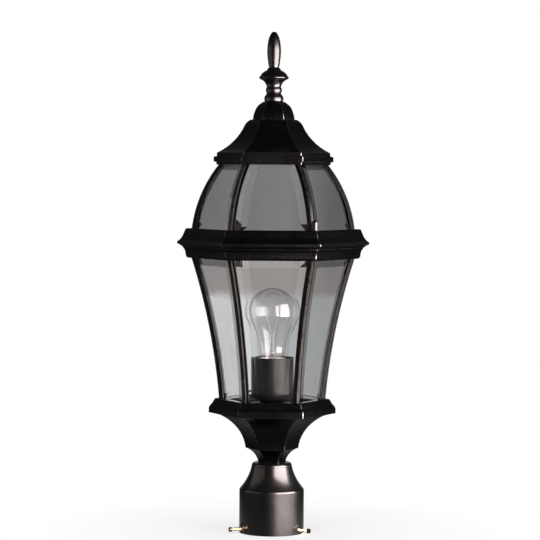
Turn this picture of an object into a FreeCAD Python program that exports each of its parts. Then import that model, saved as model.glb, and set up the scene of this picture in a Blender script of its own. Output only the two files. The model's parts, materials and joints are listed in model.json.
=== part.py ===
"""A hexagonal post top lantern with bent, bevelled glass panes.

Millimetres. The origin is at the middle of the post fitter's lower rim, +Z up, and a flat side faces -Y.
A hexagonal outline gives the radius of the corners, and a round outline the radius itself.
"""

import FreeCAD
import Part
import math
import os

# ---- the hexagon and the cage ----
SIDES = 6
STEP = 360 / SIDES
FLAT = math.cos(math.radians(STEP / 2))      # apothem over corner radius
MITRE = math.tan(math.radians(STEP / 2))
FRONT_FACE = -90.0                           # direction of side 1
FRONT_CORNER = FRONT_FACE + STEP / 2         # direction of corner 1, front right
REACH = 200.0                                # longer than any radius here
CORE = 3.0                                   # hexagonal outlines start here, inside the hole bored later

DOME_CURVE = (-56.1, 359.3, 158.9)           # centre radius, centre height, radius of the dome's outline
FLARE_CURVE = (868.4, 97.2, -804.7)          # the same for the flared lower cage, which curves inwards
RIB_BAR = (4.8, 1.6)                         # width and stand-out of the raised bar
RIB_FLANGE = (5.0, 1.2)                      # reach from the corner, and thickness, of the flanges
RIB_WEB = 2.0                                # width of the web between two panes
GLASS = 4.0                                  # pane thickness
GLASS_GAP = 0.3                              # pane edge to web
BEVEL = (12.7, 1.5)                          # half-inch bevel, and how much it thins the edge
CLIP_WIDTH = (3.2, 9.5)                      # glass clips: width at the foot and at the free end
CLIP_NECK = 0.6                              # share of a clip's rise where it starts to widen
CLIP_SHEET = 0.8
CLIP_UPPER_TIP = 386.0
CLIP_LOWER_TIPS = (173.0, 334.5)
RIB_DEPTH = RIB_BAR[1] + RIB_FLANGE[1] / FLAT   # bar's top to the glass, at the corner

# ---- heights ----
RIM_TOP = 87.4                               # top of the post fitter
CUP_TOP = 149.0                              # joint between base cup and base ring
BASE_SEAT = 163.5                            # what the lower panes stand on
BASE_TOP = 166.9
BAND_BOTTOM = 342.0
LOWER_SEAT = 350.0                           # what the lower panes reach up to
PARTING = 356.0                              # where the dome lifts off the lower cage
UPPER_SEAT = 368.0                           # what the dome's panes stand on
BAND_TOP = 378.7
ROOF_RIM = 457.8
TOP_RING = (462.0, 466.0)
ROOF_TOP = 513.8
CROWN_TOP = 536.3
TIP = 622.7
CAGE = (FLARE_CURVE, BASE_SEAT, LOWER_SEAT)
DOME = (DOME_CURVE, UPPER_SEAT, TOP_RING[0])

# ---- rings ----
CLEAR_OPENING = 94.0                         # corner radius of the opening through the band
REGISTER = (96.6, 361.0)                     # lip of the lower band ring that centres the dome
REGISTER_GAP = 0.6
BASE_OPENING = 56.0

# ---- post fitter ----
BORE_R = 38.5                                # takes a 76.2 mm (3 in) post
BORE_DEPTH = 50.5
FITTER_R = 40.3
FITTER_CEILING = 84.9                        # underside of the fitter's top
SET_SCREW_ANGLES = (-33.5, 86.5, -153.5)
SET_SCREW_Z = 6.0
SET_SCREW_R = 2.1
SET_SCREW_END = 57.5
SET_SCREW_HEAD = (3.0, 2.6)                  # radius, thickness
SET_SCREW_SLOT = (0.9, 1.2)                  # width, depth
PAD = (5.6, 7.4, 41.7)                       # half width, height of its round end's centre, outer radius
THREAD_GAP = 0.05

# ---- dome screws ----
DOME_SCREW_ANGLES = (FRONT_CORNER, FRONT_CORNER + 180)
DOME_SCREW_AT = 105.5
DOME_SCREW_R = 2.0
DOME_SCREW_END = 351.0
DOME_SCREW_HEAD = (3.7, 388.2, 391.3)        # radius, height of its shoulder, height of its crown

# ---- lamp holder ----
NIPPLE = (5.0, 3.2, 78.0, 173.0)             # outer radius, wire way, lower and upper end
NIPPLE_HOLE = 5.3                            # through the fitter and the base cup
NUT = (16.0, 5.0)                            # across flats, thickness
SPACER_R = 8.0
PLATE = (59.5, 2.5)                          # corner radius and thickness of the floor plate
PLATE_LEDGE = 60.5                           # corner radius of the step that it lies in
TRAY_Z = 158.5                               # underside of the disc below the socket cup
CUP_Z = 162.0                                # underside of the socket cup
CUP_WALL = 1.2
SOCKET_Z = 168.2
SOCKET_FLOOR = 188.0
CONTACT_TOP = 190.6
CONTACT_R = 3.2
BULB_NECK_Z = 214.0
BULB_BALL = (30.0, 275.6, 0.8)               # radius, centre height, wall
BULB_SHOULDER = math.radians(15)             # how far below its widest line the ball meets the neck

# ---- rod and strap ----
ROD = (3.0, 457.0, 556.0)                    # radius, lower and upper end
ROD_HOLE = 3.6                               # through the roof and the crown cap
TAP_BOTTOM = 557.0                           # end of the finial's tapped hole
ROD_NUT = (10.0, 4.5)
STRAP = (116.0, 16.0, 2.0)                   # length, width, thickness


def vec(x, y, z):
    return FreeCAD.Vector(x, y, z)


def turn(shape, angle):
    """The shape turned about the vertical axis, by degrees."""
    turned_shape = shape.copy()
    turned_shape.rotate(vec(0, 0, 0), vec(0, 0, 1), angle)
    return turned_shape


def section(points, squeeze=1.0):
    """A closed face in the XZ plane.

    (r, z) ends a straight run, and (r, z, r, z) ends an arc through its first pair.
    """
    def at(r, z):
        return vec(r * squeeze, 0, z)
    here = start = at(*points[0])
    edges = []
    for point in points[1:]:
        there = at(*point[-2:])
        if len(point) == 4:
            edges.append(Part.Arc(here, at(*point[:2]), there).toShape())
        else:
            edges.append(Part.makeLine(here, there))
        here = there
    edges.append(Part.makeLine(here, start))
    return Part.Face(Part.Wire(edges))


def turned(points):
    """A round solid: the outline turned about the vertical axis."""
    return section(points).revolve(vec(0, 0, 0), vec(0, 0, 1), 360)


def capped(r, z, top):
    """The end of a turned outline: an arc from (r, z) to the axis at top, centred on the axis."""
    rise = top - z
    radius = (r ** 2 + rise ** 2) / (2 * rise)
    centre = top - radius
    middle = (math.asin((z - centre) / radius) + math.pi / 2) / 2
    return (radius * math.cos(middle), centre + radius * math.sin(middle), 0, top)


def fused(shapes):
    """One clean solid from pieces that touch."""
    return shapes[0].multiFuse(shapes[1:]).removeSplitter().Solids[0]


def wedge(inset=0.0):
    """The sixth of space around +X, with its two sides moved in by inset."""
    apex = inset / math.sin(math.radians(STEP / 2))
    side = REACH * MITRE
    corners = [vec(apex, 0, 0), vec(apex + REACH, -side, 0), vec(apex + REACH, side, 0), vec(apex, 0, 0)]
    return Part.Face(Part.makePolygon(corners)).extrude(vec(0, 0, TIP))


def length_along(face):
    """A face in the XZ plane carried along Y, far past both mitres."""
    return face.extrude(vec(0, 2 * REACH, 0)).translated(vec(0, -REACH, 0))


def hexagonal(points):
    """A mitred hexagonal moulding: one length of the outline, cut at its mitres and repeated around."""
    length = length_along(section(points, FLAT)).common(wedge())
    return fused([turn(length, STEP / 2 + STEP * i) for i in range(SIDES)])


def hex_plate(corner_r, z, thickness):
    corners = [turn(Part.Vertex(corner_r, 0, z), STEP * i).Point for i in range(SIDES)]
    return Part.Face(Part.makePolygon(corners + corners[:1])).extrude(vec(0, 0, thickness))


def bore(radius, low, high):
    """A round cutter on the vertical axis."""
    return Part.makeCylinder(radius, high - low, vec(0, 0, low))


def nut(across_flats, z, thickness, hole):
    return hex_plate(across_flats / 2 / FLAT, z, thickness).cut(bore(hole, z, z + thickness))


# ---- the cage ----

def curve_at(curve, z):
    """Corner radius of a cage outline at a height."""
    centre_r, centre_z, radius = curve
    reach = math.sqrt(radius ** 2 - (z - centre_z) ** 2)
    return centre_r + math.copysign(reach, radius)


def curved_band(curve, low, high, outer, inner):
    """The outline between two heights, from outer to inner below it, as points of a section."""
    middle = (low + high) / 2
    r_low, r_mid, r_high = (curve_at(curve, z) for z in (low, middle, high))
    return [
        (r_low - outer, low), (r_mid - outer, middle, r_high - outer, high),
        (r_high - inner, high), (r_mid - inner, middle, r_low - inner, low),
    ]


def bent_skin(curve, low, high, outer, inner):
    """A bent sheet facing +X, endless along Y, between two depths below the cage outline."""
    return length_along(section(curved_band(curve, low, high, outer, inner), FLAT))


def pane(curve, low, high):
    """A bent pane facing +X, bevelled all round its outer face."""
    sheet = bent_skin(curve, low, high, RIB_DEPTH, RIB_DEPTH + GLASS / FLAT)
    blank = sheet.common(wedge(RIB_WEB / 2 + GLASS_GAP)).Solids[0]
    bent = [face for face in blank.Faces if isinstance(face.Surface, Part.Cylinder)]
    outer = max(bent, key=lambda face: face.CenterOfMass.x)
    return blank.makeChamfer(BEVEL[0], BEVEL[1], outer.Edges)


def rib(curve, low, high):
    """A rib on the corner at +X: ridged bar, web between the panes, and a flange lying on each pane."""
    bar_width, stand_out = RIB_BAR
    reach = RIB_FLANGE[0]
    web = section(curved_band(curve, low, high, stand_out, RIB_DEPTH + GLASS))
    pieces = [web.extrude(vec(0, RIB_WEB, 0)).translated(vec(0, -RIB_WEB / 2, 0))]
    for half_width, top in ((bar_width / 2, 0), (reach, stand_out)):
        skin = bent_skin(curve, low, high, top, RIB_DEPTH)
        left = Part.makeBox(REACH, half_width, TIP)
        right = Part.makeBox(REACH, half_width, TIP, vec(0, -half_width, 0))
        pieces += [turn(skin, STEP / 2).common(left), turn(skin, -STEP / 2).common(right)]
    return fused(pieces)


def clip(curve, low, high, root, tip, side):
    """A bent tab on the inner face of a pane facing +X, near one edge and wide at its free end."""
    foot, head = CLIP_WIDTH
    rise = tip - root
    depth = RIB_DEPTH + GLASS / FLAT
    sheet = bent_skin(curve, low, high, depth, depth + CLIP_SHEET / FLAT)
    corner = min(curve_at(curve, root), curve_at(curve, tip)) - RIB_DEPTH
    edge = MITRE * (FLAT * corner - GLASS) - RIB_WEB - foot
    corners = [(0, 0), (foot, 0), (foot, rise), (foot - head, rise), (0, rise * CLIP_NECK)]
    outline = [vec(0, side * (edge + y), root + z) for y, z in corners]
    cutter = Part.Face(Part.makePolygon(outline + outline[:1])).extrude(vec(REACH, 0, 0))
    return sheet.common(cutter).Solids[0]


def clips(curve, low, high, spans):
    """Two clips a pane for each span of heights, from root to tip."""
    return Part.makeCompound([
        turn(clip(curve, low, high, root, tip, side), STEP / 2 + STEP * i)
        for root, tip in spans for side in (-1, 1) for i in range(SIDES)
    ])


# ---- base and post fitter ----

def post_fitter():
    """A cast neck on a sleeve, with a pad and a tapped hole for each set screw."""
    hole = NIPPLE_HOLE
    body = turned([
        (hole, RIM_TOP), (20.5, RIM_TOP), (24.0, 86.2, 25.0, 82.8), (29.0, 71.0, 38.3, 56.3),
        (39.8, 54.2, FITTER_R, 51.5), (FITTER_R, 0), (BORE_R, 0), (BORE_R, BORE_DEPTH),
        (27.6, 68.5, 23.2, 81.5), (22.4, FITTER_CEILING), (hole, FITTER_CEILING),
    ])
    half_width, centre_z, outer = PAD
    for angle in SET_SCREW_ANGLES:
        block = Part.makeBox(outer, 2 * half_width, centre_z, vec(0, -half_width, 0))
        round_end = Part.makeCylinder(half_width, outer, vec(0, 0, centre_z), vec(1, 0, 0))
        pad = block.fuse(round_end).common(bore(outer, 0, RIM_TOP)).cut(bore(BORE_R, 0, RIM_TOP))
        drill = Part.makeCylinder(SET_SCREW_R + THREAD_GAP, REACH, vec(0, 0, SET_SCREW_Z), vec(1, 0, 0))
        body = body.fuse(turn(pad, angle)).cut(turn(drill, angle))
    return body.removeSplitter().Solids[0]


def base_cup():
    """The flared hexagonal cup between the fitter and the base ring."""
    cup = hexagonal([
        (76.2, CUP_TOP), (70.5, 147.3), (65.0, 146.0), (47.2, 133.9, 33.1, 105.2),
        (30.3, 104.4), (20.6, 96.2, 17.1, RIM_TOP), (CORE, RIM_TOP), (CORE, 90.4), (13.0, 90.4),
        (15.0, 98.0, 25.5, 104.5), (41.5, 132.0, 56.0, 144.5), (BASE_OPENING, CUP_TOP - PLATE[1]),
        (PLATE_LEDGE, CUP_TOP - PLATE[1]), (PLATE_LEDGE, CUP_TOP),
    ])
    return cup.cut(bore(NIPPLE_HOLE, RIM_TOP, CUP_TOP))


def base_ring():
    """The moulded hexagonal ring at the foot of the cage."""
    return hexagonal([
        (71.2, BASE_TOP), (72.4, 165.4), (75.0, 160.9), (77.6, 158.3, 79.3, 155.0), (79.3, CUP_TOP),
        (BASE_OPENING, CUP_TOP), (BASE_OPENING, BASE_SEAT), (67.6, BASE_SEAT), (67.6, BASE_TOP),
    ])


def floor_plate():
    radius, thickness = PLATE
    plate = hex_plate(radius, CUP_TOP - thickness, thickness)
    return plate.cut(bore(NIPPLE[0], 0, CUP_TOP))


# ---- band ----

def band_lower_ring():
    """The lower half of the band, with the lip that centres the dome."""
    lip_r, lip_top = REGISTER
    ring = hexagonal([
        (113.0, PARTING), (112.0, 354.3), (110.1, 351.9), (109.2, 348.6), (108.8, 344.6),
        (106.6, BAND_BOTTOM), (104.9, BAND_BOTTOM), (104.9, LOWER_SEAT), (CLEAR_OPENING, LOWER_SEAT),
        (CLEAR_OPENING, lip_top), (lip_r, lip_top), (lip_r, PARTING),
    ])
    return drilled_for_dome_screws(ring, THREAD_GAP)


def band_upper_ring():
    """The upper half of the band, which carries the dome and overhangs the joint as a drip edge."""
    lip_r, lip_top = REGISTER
    ring = hexagonal([
        (108.5, BAND_TOP), (109.9, 376.8), (112.0, 371.6), (114.6, 366.9, 118.8, 362.9), (119.7, 362.5),
        (119.7, 359.5), (117.8, 359.2), (114.1, 356.7), (113.0, PARTING), (lip_r + REGISTER_GAP, PARTING),
        (lip_r + REGISTER_GAP, lip_top + REGISTER_GAP), (CLEAR_OPENING, lip_top + REGISTER_GAP),
        (CLEAR_OPENING, UPPER_SEAT), (103.2, UPPER_SEAT), (103.2, BAND_TOP),
    ])
    return drilled_for_dome_screws(ring, REGISTER_GAP / 2)


def drilled_for_dome_screws(ring, gap):
    for angle in DOME_SCREW_ANGLES:
        drill = Part.makeCylinder(DOME_SCREW_R + gap, REACH, vec(DOME_SCREW_AT, 0, DOME_SCREW_END - gap))
        ring = ring.cut(turn(drill, angle))
    return ring.Solids[0]


def dome_screw(angle):
    """A domed cap screw standing on a corner of the band."""
    head_r, shoulder, crown = DOME_SCREW_HEAD
    screw = turned([
        (0, DOME_SCREW_END), (DOME_SCREW_R, DOME_SCREW_END), (DOME_SCREW_R, BAND_TOP), (head_r, BAND_TOP),
        (head_r, shoulder), capped(head_r, shoulder, crown),
    ])
    return turn(screw.translated(vec(DOME_SCREW_AT, 0, 0)), angle)


# ---- roof ----

def top_ring():
    low, high = TOP_RING
    return hexagonal([(68.6, high), (68.6, low), (50.0, low), (50.0, high)])


def top_strap():
    length, width, thickness = STRAP
    bar = Part.makeBox(length, width, thickness, vec(-length / 2, -width / 2, TOP_RING[1]))
    return bar.cut(bore(ROD[0], ROD[1], ROD[2]))


def threaded_rod():
    radius, low, high = ROD
    return bore(radius, low, high)


def rod_nuts():
    across, thickness = ROD_NUT
    below = nut(across, TOP_RING[1] - thickness, thickness, ROD[0])
    above = nut(across, TOP_RING[1] + STRAP[2], thickness, ROD[0])
    return Part.makeCompound([below, above])


def roof():
    """The flared hexagonal roof shell, with a bead above its rim."""
    seat = TOP_RING[1]
    shell = hexagonal([
        (CORE, ROOF_TOP), (29.1, ROOF_TOP), (33.4, 510.7, 36.1, 507.2), (48.7, 488.4, 70.6, 472.7),
        (70.6, 468.7), (73.8, 468.1), (74.6, 467.3), (74.6, 462.3), (73.8, 461.4), (71.1, 461.1),
        (71.1, ROOF_RIM), (69.0, ROOF_RIM), (69.0, seat), (66.0, seat), (66.0, 471.4),
        (46.0, 485.6, 33.2, 505.0), (29.0, 510.8), (CORE, 510.8),
    ])
    return shell.cut(bore(ROD_HOLE, ROD[1], TIP))


def crown_cap():
    """The small hexagonal cap under the finial."""
    cap = hexagonal([
        (CORE, CROWN_TOP), (12.6, CROWN_TOP), (18.2, 532.7, 21.9, 528.5), (24.8, 521.2, 26.3, ROOF_TOP),
        (23.2, ROOF_TOP), (21.8, 521.0, 18.8, 527.4), (13.0, 532.8), (CORE, 532.8),
    ])
    return cap.cut(bore(ROD_HOLE, ROD[1], TIP))


def finial():
    """The turned finial: foot bead, ring, disc, collar and spindle, bored to screw on the rod."""
    body = turned([
        (0, CROWN_TOP), (11.1, CROWN_TOP), (11.9, 540.9, 9.5, 545.1), (8.8, 546.8),
        (10.1, 550.5, 8.8, 554.2), (10.8, 559.2, 16.6, 563.6), (17.9, 564.7), (18.4, 565.9, 17.6, 567.2),
        (15.9, 569.8), (13.6, 572.3, 9.3, 574.8), (8.3, 576.2), (7.4, 577.6), (6.0, 578.6),
        (7.0, 582.0, 7.5, 586.0), (8.6, 598.6, 7.4, 611.2), (5.5, 617.4, 2.8, 621.9), (0, TIP),
    ])
    return body.cut(bore(ROD[0] + THREAD_GAP, CROWN_TOP, TAP_BOTTOM))


# ---- lamp holder ----

def stem_nipple():
    """The hollow threaded pipe that ties fitter, cup, floor plate and lamp holder, and carries the wires."""
    outer, inner, low, high = NIPPLE
    return bore(outer, low, high).cut(bore(inner, low, high))


def nipple_nuts():
    across, thickness = NUT
    heights = (FITTER_CEILING - thickness, CUP_TOP, CUP_Z + CUP_WALL)
    return Part.makeCompound([nut(across, z, thickness, NIPPLE[0]) for z in heights])


def spacer():
    """The collar that holds the tray clear of the nut."""
    low = CUP_TOP + NUT[1]
    return bore(SPACER_R, low, TRAY_Z).cut(bore(NIPPLE[0], low, TRAY_Z))


def socket_tray():
    """The dished disc that the socket cup stands on."""
    hole = NIPPLE[0]
    return turned([
        (hole, TRAY_Z), (21.0, TRAY_Z), (26.0, 160.6), (25.6, 161.4), (20.0, CUP_Z), (hole, CUP_Z),
    ])


def socket_cup():
    hole = NIPPLE[0]
    return turned([
        (hole, CUP_Z), (13.5, CUP_Z), (20.3, 167.6, 22.8, 176.0), (22.8, 219.0), (22.8 - CUP_WALL, 219.0),
        (22.8 - CUP_WALL, 176.0), (19.3, 168.3, 13.2, CUP_Z + CUP_WALL), (hole, CUP_Z + CUP_WALL),
    ])


def socket_body():
    """The porcelain lamp holder inside the cup."""
    hole = NIPPLE[0]
    return turned([
        (hole, SOCKET_Z), (16.5, SOCKET_Z), (20.6, 177.0), (21.3, 180.0), (21.3, 215.4),
        (20.2, 216.8), (16.4, 216.8), (14.2, 212.0), (14.2, SOCKET_FLOOR), (0, SOCKET_FLOOR),
        (0, 174.0), (hole, 174.0),
    ])


def screw_shell():
    return turned([
        (13.4, 211.5), (13.8, 211.5), (13.8, SOCKET_FLOOR), (7.0, SOCKET_FLOOR), (7.0, 188.5), (13.4, 188.5),
    ])


def centre_contact():
    return bore(CONTACT_R, SOCKET_FLOOR, CONTACT_TOP)


# ---- bulb ----

def bulb_base():
    """The screw cap, E26."""
    return turned([
        (0, CONTACT_TOP), (4.2, CONTACT_TOP), (5.4, 192.6), (9.4, 194.2), (12.4, 197.4), (13.1, 199.0),
        (13.1, BULB_NECK_Z), (0, BULB_NECK_Z),
    ])


def bulb_glass():
    """The blown envelope, open where it enters the cap."""
    radius, centre, wall = BULB_BALL
    ball_r = radius * math.cos(BULB_SHOULDER)
    ball_z = centre - radius * math.sin(BULB_SHOULDER)
    inner_r = ball_r - wall
    inner_top = centre + radius - wall
    inner_cap = capped(inner_r, ball_z, inner_top)
    return turned([
        (12.6, BULB_NECK_Z), (14.2, 218.6, 15.6, 225.0), (16.1, 231.5), (20.7, 250.2, ball_r, ball_z),
        capped(ball_r, ball_z, centre + radius), (0, inner_top), (*inner_cap[:2], inner_r, ball_z),
        (19.9, 250.5, 15.3, 231.6), (14.8, 225.2), (13.4, 218.8, 11.8, BULB_NECK_Z),
    ])


def bulb_stem():
    return turned([
        (0, BULB_NECK_Z), (8.5, BULB_NECK_Z), (3.4, 222.0, 2.6, 236.0), (2.2, 250.0), (0, 250.6),
    ])


def bulb_filament():
    """Two support wires and the coiled filament hung between them."""
    wire_r, foot, top, spread = 0.4, 249.0, 270.0, 8.0
    root, rise, coil_r = 1.2, 3.0, 0.7
    wires = []
    for side in (-1, 1):
        start = vec(side * root, 0, foot)
        run = vec(side * spread, 0, top) - start
        wires.append(Part.makeCylinder(wire_r, run.Length, start, run))
    arc = Part.Arc(vec(-spread, 0, top), vec(0, 0, top + rise), vec(spread, 0, top))
    end = arc.FirstParameter
    ring = Part.Wire(Part.Circle(arc.value(end), arc.tangent(end)[0], coil_r).toShape())
    coil = Part.Wire(arc.toShape()).makePipeShell([ring], True, False)
    return fused([coil] + wires).cut(bulb_stem()).Solids[0]


# ---- set screws ----

def set_screw(angle):
    """A slotted screw that grips the post, pointing out along +X before it is turned to its angle."""
    head_r, head_t = SET_SCREW_HEAD
    slot_w, slot_d = SET_SCREW_SLOT
    neck = SET_SCREW_END - head_t
    shank = Part.makeCylinder(SET_SCREW_R, neck - BORE_R, vec(BORE_R, 0, SET_SCREW_Z), vec(1, 0, 0))
    head = Part.makeCylinder(head_r, head_t, vec(neck, 0, SET_SCREW_Z), vec(1, 0, 0))
    slot_corner = vec(SET_SCREW_END - slot_d, -slot_w / 2, SET_SCREW_Z - head_r)
    slot = Part.makeBox(slot_d, slot_w, 2 * head_r, slot_corner)
    return turn(fused([shank, head]).cut(slot).Solids[0], angle)


def repeated(name, shape, first_angle):
    """Six nodes, numbered from the front anticlockwise seen from above."""
    return {f"{name}_{i + 1}": turn(shape, first_angle + STEP * i) for i in range(SIDES)}


def lantern():
    """Every piece by name."""
    pieces = {
        "post_fitter": post_fitter(),
        "base_cup": base_cup(),
        "base_ring": base_ring(),
        "floor_plate": floor_plate(),
        "stem_nipple": stem_nipple(),
        "nipple_nuts": nipple_nuts(),
        "spacer": spacer(),
        "socket_tray": socket_tray(),
        "socket_cup": socket_cup(),
        "socket_body": socket_body(),
        "screw_shell": screw_shell(),
        "centre_contact": centre_contact(),
        "bulb_base": bulb_base(),
        "bulb_glass": bulb_glass(),
        "bulb_stem": bulb_stem(),
        "bulb_filament": bulb_filament(),
        "band_lower_ring": band_lower_ring(),
        "band_upper_ring": band_upper_ring(),
        "top_ring": top_ring(),
        "top_strap": top_strap(),
        "threaded_rod": threaded_rod(),
        "rod_nuts": rod_nuts(),
        "roof": roof(),
        "crown_cap": crown_cap(),
        "finial": finial(),
        "upper_glass_clips": clips(*DOME, [(UPPER_SEAT, CLIP_UPPER_TIP)]),
        "lower_glass_clips": clips(*CAGE, list(zip((BASE_SEAT, LOWER_SEAT), CLIP_LOWER_TIPS))),
    }
    pieces.update(repeated("lower_rib", rib(*CAGE), FRONT_CORNER))
    pieces.update(repeated("upper_rib", rib(*DOME), FRONT_CORNER))
    pieces.update(repeated("lower_glass", pane(*CAGE), FRONT_FACE))
    pieces.update(repeated("upper_glass", pane(*DOME), FRONT_FACE))
    pieces.update({f"set_screw_{i + 1}": set_screw(a) for i, a in enumerate(SET_SCREW_ANGLES)})
    pieces.update({f"dome_screw_{i + 1}": dome_screw(a) for i, a in enumerate(DOME_SCREW_ANGLES)})
    return pieces


def main():
    os.makedirs("parts", exist_ok=True)
    for name, shape in lantern().items():
        if not shape.isValid():
            raise ValueError(f"{name} is not a valid solid")
        shape.exportStep(f"parts/{name}.step")
        print(f"{name}: {len(shape.Solids)} solid, {shape.Volume / 1000:.1f} cm3")


main()
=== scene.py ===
"""The surfaces and finishes of a hexagonal post top lantern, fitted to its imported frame.

Outlines are in millimetres in the frame's own axes: heights are above the post fitter's rim. A hexagonal
outline gives corner radii and a round one plain radii. (r, z) ends a straight run of an outline, and
(r, z, r, z) ends an arc through its first pair. Meshes are written in metres.
"""

import json
import math

import bpy
import mathutils
import numpy as np
from bpy.props import FloatProperty, FloatVectorProperty, PointerProperty
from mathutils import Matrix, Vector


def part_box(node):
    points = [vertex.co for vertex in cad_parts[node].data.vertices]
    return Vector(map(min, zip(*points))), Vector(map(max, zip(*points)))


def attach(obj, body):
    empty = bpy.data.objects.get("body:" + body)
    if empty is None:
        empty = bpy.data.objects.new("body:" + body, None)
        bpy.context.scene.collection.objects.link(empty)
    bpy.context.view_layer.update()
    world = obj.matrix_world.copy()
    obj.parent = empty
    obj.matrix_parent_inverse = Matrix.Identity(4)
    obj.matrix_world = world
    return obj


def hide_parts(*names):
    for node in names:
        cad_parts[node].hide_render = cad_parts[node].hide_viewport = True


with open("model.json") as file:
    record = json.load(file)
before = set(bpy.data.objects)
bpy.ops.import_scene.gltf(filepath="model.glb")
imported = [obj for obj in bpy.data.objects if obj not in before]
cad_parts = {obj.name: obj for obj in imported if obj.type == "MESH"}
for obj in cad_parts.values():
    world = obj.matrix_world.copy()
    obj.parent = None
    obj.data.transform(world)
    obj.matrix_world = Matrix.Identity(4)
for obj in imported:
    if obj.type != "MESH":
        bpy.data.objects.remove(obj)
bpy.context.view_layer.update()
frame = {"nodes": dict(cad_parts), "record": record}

bl_info = {
    "name": "Post Top Lantern",
    "version": (1, 0, 0),
    "blender": (4, 5, 0),
    "location": "3D View > Sidebar > Lantern",
    "description": "Builds the surfaces and finishes of a hexagonal post top lantern",
    "category": "Object",
}

MM = 0.001
WELD = 1e-4 * MM                      # vertices nearer than this are one
TANGENT = math.radians(4)             # runs that meet at less than this flow into each other
SHARP = math.radians(30)              # faces of a plain mesh that meet at more than this are creased
BEVEL_CREASE = math.radians(4)        # the same for a pane, so that its bevels end in a line
SIDES = 6
STEP = math.tau / SIDES
FLAT = math.cos(STEP / 2)             # apothem over corner radius
MITRE = math.tan(STEP / 2)
FRONT_FACE = -math.pi / 2             # direction of pane 1
FRONT_CORNER = FRONT_FACE + STEP / 2  # direction of rib 1, front right

DOME_CURVE = (-56.1, 359.3, 158.9)    # centre radius, centre height, radius of the dome's outline
FLARE_CURVE = (868.4, 97.2, -804.7)   # the same for the flared lower cage, which curves inwards
RIB_BAR = (4.8, 1.6)                  # width and stand-out of the raised bar
RIB_FLANGE = (5.0, 1.2)               # reach and thickness of the flanges
RIB_CROWN = (0.95, 0.3)               # how far the bar's edges and its middle lie below the corner
RIB_WEB = 2.0                         # thickness of the web between two panes
RIB_DEPTH = RIB_BAR[1] + RIB_FLANGE[1] / FLAT
GLASS = 4.0                           # thickness of a pane
GLASS_GAP = 0.3                       # between a pane and a web
BEVEL = (12.7, 1.5)                   # width, and how much it thins the edge
FLAT_STEP = 0.25                      # the short step from a bevel to the flat
BEVEL_PAINTED_LIGHT = (1.33, 1.35, 1.34, 1)    # painted light: a bevel's lighter tint over the pane's
SLANT_PAINTED_SHADE = (0.18, 0.22, 0.2, 1)   # painted shade: the darker tint where a bevel is seen at a slant
SLANT = (0.15, 0.4)                   # turn from the eye over which the painted light becomes the painted shade
GLARE = (0.15, 0.15, 0.15, 1)         # share of a pane's own reflections that shows
PANE_MIDDLE, PANE_SIDE = 0.02, 0.07   # metres across, between which the painted light and shade on a pane's sides come in

SCREW_ANGLES = tuple(math.radians(a) for a in (-33.5, 86.5, -153.5))
DOME_SCREW_ANGLES = (FRONT_CORNER, FRONT_CORNER + math.pi)
DOME_SCREW_AT = 105.5                 # radius at which the dome screws stand


def span(node):
    """Lowest and highest height of a node, in millimetres."""
    low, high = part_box(node)
    return low.z / MM, high.z / MM


# ---- outlines ----

def unit(vectors):
    """Each vector over its length."""
    return vectors / np.linalg.norm(vectors, axis=-1, keepdims=True)


def arc_run(start, middle, end, step=math.radians(6)):
    """Points and side directions of the arc through three points.

    The centre c is where the chords' bisectors meet, and the arc is c + R (cos t, sin t), with t from the
    start's angle to the end's by way of the middle's.
    """
    a, b, c = (np.array(p, float) for p in (start, middle, end))
    chords = 2 * np.array([b - a, c - a])
    centre = np.linalg.solve(chords, [b @ b - a @ a, c @ c - a @ a])
    angles = [math.atan2(p[1] - centre[1], p[0] - centre[0]) for p in (a, b, c)]
    first, second, third = np.unwrap(angles)
    t = np.linspace(first, third, max(2, math.ceil(abs(third - first) / step)) + 1)
    spokes = np.stack([np.cos(t), np.sin(t)], -1)
    line = centre + np.linalg.norm(a - centre) * spokes
    return line, spokes * math.copysign(1, third - first)


def straight_run(start, end):
    """Both ends of a straight run, and its right-hand side as their direction."""
    line = np.array([start, end], float)
    (dx, dy), = unit(np.diff(line, axis=0))
    return line, np.array([[dy, -dx]] * 2)


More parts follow.
